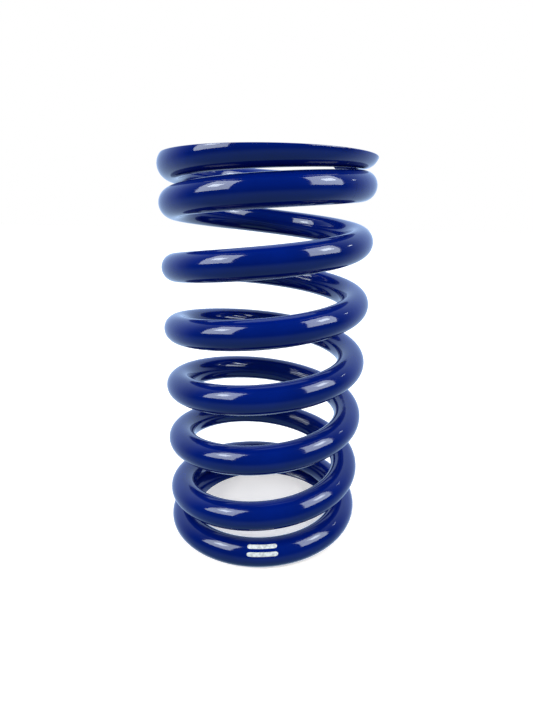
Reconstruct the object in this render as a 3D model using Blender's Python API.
"""Coil-over suspension spring: one round steel wire wound right-handed, closed and ground flat at both ends.

The wire is modelled as consecutive stretches, each its own object: an end coil at each end, and quarter
turns in between. A compressed coil spring works by twisting its wire, so each quarter turn has its
origin on the cut where it twists against the one before. Metres, +Z up, the origin on the spring's axis
at the ground bottom face. A place along the wire is a turn number: whole turns are at the front (-Y),
and the wire climbs anticlockwise seen from above.
"""

import math

import bmesh
import bpy
import numpy as np
from mathutils import Vector

# Driving dimensions
INNER_DIAMETER = 0.0635
WIRE_DIAMETER = 0.0115
FREE_LENGTH = 0.160
BOTTOM_TIP = -0.68  # turn number of the wire's lower end
TOP_TIP = 7.34
FIRST_CUT = 0.625  # where the bottom end coil stops and the working coils start
LAST_CUT = 6.125
BOTTOM_TIP_THICKNESS = 0.188 * WIRE_DIAMETER  # what grinding leaves of the wire at its two ends
TOP_TIP_THICKNESS = 0.25 * WIRE_DIAMETER
CLOSED_RISE = 1.03 * WIRE_DIAMETER  # climb per turn where an end coil lies against the next
BOTTOM_CLOSED_TURNS = 1.13
TOP_CLOSED_TURNS = 0.96
BOTTOM_RAMP = 0.25  # turns over which the closed rise grows to the working rise
TOP_RAMP = 0.90
CUT_GAP = 0.0003

COIL_RADIUS = (INNER_DIAMETER + WIRE_DIAMETER) / 2
WIRE_RADIUS = WIRE_DIAMETER / 2

# How finely the wire is divided
STEPS_PER_TURN = 32
BEVEL_RESOLUTION = 4  # 12 sides
SQUARING_STEP = 0.003  # a short first and last step, in turns, which squares the cut to the wire
QUARTER = 0.25
SIDES = ("front", "right", "back", "left")

POWDER_BLUE = (0.005, 0.022, 0.19, 1.0)


def smooth_step(x):
    x = np.clip(x, 0.0, 1.0)
    return x * x * (3 - 2 * x)


def opened(turn):
    """0 where the coils lie closed, 1 where they stand at the working rise."""
    from_bottom = smooth_step((turn - BOTTOM_TIP - BOTTOM_CLOSED_TURNS) / BOTTOM_RAMP)
    from_top = smooth_step((TOP_TIP - TOP_CLOSED_TURNS - turn) / TOP_RAMP)
    return np.minimum(from_bottom, from_top)


def height_table(samples=4001):
    """Turn numbers from tip to tip, and the height of the wire's centre at each."""
    turns = np.linspace(BOTTOM_TIP, TOP_TIP, samples)
    lowest = BOTTOM_TIP_THICKNESS - WIRE_RADIUS
    highest = FREE_LENGTH + WIRE_RADIUS - TOP_TIP_THICKNESS
    share = opened(turns)
    step = turns[1] - turns[0]
    opened_so_far = np.concatenate([[0.0], np.cumsum((share[1:] + share[:-1]) / 2 * step)])
    closed_climb = CLOSED_RISE * (turns - BOTTOM_TIP)
    extra_rise = (highest - lowest - closed_climb[-1]) / opened_so_far[-1]
    return turns, lowest + closed_climb + extra_rise * opened_so_far


TURNS, HEIGHTS = height_table()


def wire_centre(turn):
    angle = math.tau * turn - math.pi / 2
    height = float(np.interp(turn, TURNS, HEIGHTS))
    return Vector((COIL_RADIUS * math.cos(angle), COIL_RADIUS * math.sin(angle), height))


def stretch_turns(start, end):
    """Turn numbers along one stretch, with the short squaring step at both of its ends."""
    steps = round((end - start) * STEPS_PER_TURN)
    inner = np.linspace(start, end, steps + 1)[1:-1]
    return [start, start + SQUARING_STEP, *inner, end - SQUARING_STEP, end]


def powder_coat(name):
    material = bpy.data.materials.new(name + "_coat")
    material.use_nodes = True
    shader = material.node_tree.nodes["Principled BSDF"]
    shader.inputs["Base Color"].default_value = POWDER_BLUE
    shader.inputs["Roughness"].default_value = 0.12
    shader.inputs["Metallic"].default_value = 0.0
    return material


def wire_stretch(name, start, end, origin, collection):
    """A piece of the wire between two turn numbers, with the object's origin at the given point."""
    spline_points = [wire_centre(turn) - origin for turn in stretch_turns(start, end)]
    curve = bpy.data.curves.new(name, "CURVE")
    curve.dimensions = "3D"
    curve.bevel_depth = WIRE_RADIUS
    curve.bevel_resolution = BEVEL_RESOLUTION
    curve.use_fill_caps = True
    spline = curve.splines.new("POLY")
    spline.points.add(len(spline_points) - 1)
    for point, place in zip(spline.points, spline_points):
        point.co = (*place, 1.0)
    curve.materials.append(powder_coat(name))
    stretch = bpy.data.objects.new(name, curve)
    stretch.location = origin
    collection.objects.link(stretch)
    return stretch


def as_mesh(curve_object):
    """The curve object replaced by a mesh object with its caps welded on."""
    bpy.context.view_layer.update()
    graph = bpy.context.evaluated_depsgraph_get()
    mesh = bpy.data.meshes.new_from_object(curve_object.evaluated_get(graph))
    welded = bmesh.new()
    welded.from_mesh(mesh)
    bmesh.ops.remove_doubles(welded, verts=welded.verts, dist=1e-6)
    welded.to_mesh(mesh)
    welded.free()
    name, curve, collection = curve_object.name, curve_object.data, curve_object.users_collection[0]
    place = curve_object.matrix_world.copy()
    bpy.data.objects.remove(curve_object)
    bpy.data.curves.remove(curve)
    mesh_object = bpy.data.objects.new(name, mesh)
    mesh_object.matrix_world = place
    collection.objects.link(mesh_object)
    return mesh_object


def grinding_block(name, low, high, collection):
    """A square block between two heights, wider than the spring, that takes away what it covers."""
    mesh = bpy.data.meshes.new(name)
    shape = bmesh.new()
    bmesh.ops.create_cube(shape, size=1.0)
    width = 3 * INNER_DIAMETER
    bmesh.ops.scale(shape, vec=(width, width, high - low), verts=shape.verts)
    bmesh.ops.translate(shape, vec=(0, 0, (low + high) / 2), verts=shape.verts)
    shape.to_mesh(mesh)
    shape.free()
    block = bpy.data.objects.new(name, mesh)
    block.hide_render = True
    block.display_type = "WIRE"
    collection.objects.link(block)
    return block


def grind(end_coil, block):
    end_coil.data.shade_smooth()
    end_coil.data.set_sharp_from_angle(angle=math.radians(35))
    cut = end_coil.modifiers.new("ground_flat", "BOOLEAN")
    cut.operation = "DIFFERENCE"
    cut.solver = "EXACT"
    cut.object = block


def end_coils(parts, cutters):
    """The closed coil at each end, from the wire's tip to the nearest cut, ground flat on its outer side."""
    half_gap = CUT_GAP / 2 / (math.tau * COIL_RADIUS)
    axis_point = Vector((0, 0, 0))
    bottom = wire_stretch("bottom_end_coil", BOTTOM_TIP, FIRST_CUT - half_gap, axis_point, parts)
    top = wire_stretch("top_end_coil", LAST_CUT + half_gap, TOP_TIP, wire_centre(LAST_CUT), parts)
    below = grinding_block("bottom_grinding_block", -WIRE_DIAMETER, 0, cutters)
    above = grinding_block(
        "top_grinding_block", FREE_LENGTH, FREE_LENGTH + WIRE_DIAMETER, cutters
    )
    grind(as_mesh(bottom), below)
    grind(as_mesh(top), above)


def working_coils(parts):
    """Quarter turns between the end coils, named for their turn and the side that they stand on."""
    half_gap = CUT_GAP / 2 / (math.tau * COIL_RADIUS)
    for index in range(round((LAST_CUT - FIRST_CUT) / QUARTER)):
        start = FIRST_CUT + index * QUARTER
        middle = start + QUARTER / 2
        side = SIDES[round(middle / QUARTER) % len(SIDES)]
        name = f"coil_{int(middle) + 1}_{side}"
        wire_stretch(
            name, start + half_gap, start + QUARTER - half_gap, wire_centre(start), parts
        )


def main():
    for old in list(bpy.data.objects):
        bpy.data.objects.remove(old)
    parts = bpy.data.collections.new("coil_spring")
    cutters = bpy.data.collections.new("cutters")
    for collection in (parts, cutters):
        bpy.context.scene.collection.children.link(collection)
    end_coils(parts, cutters)
    working_coils(parts)


main()
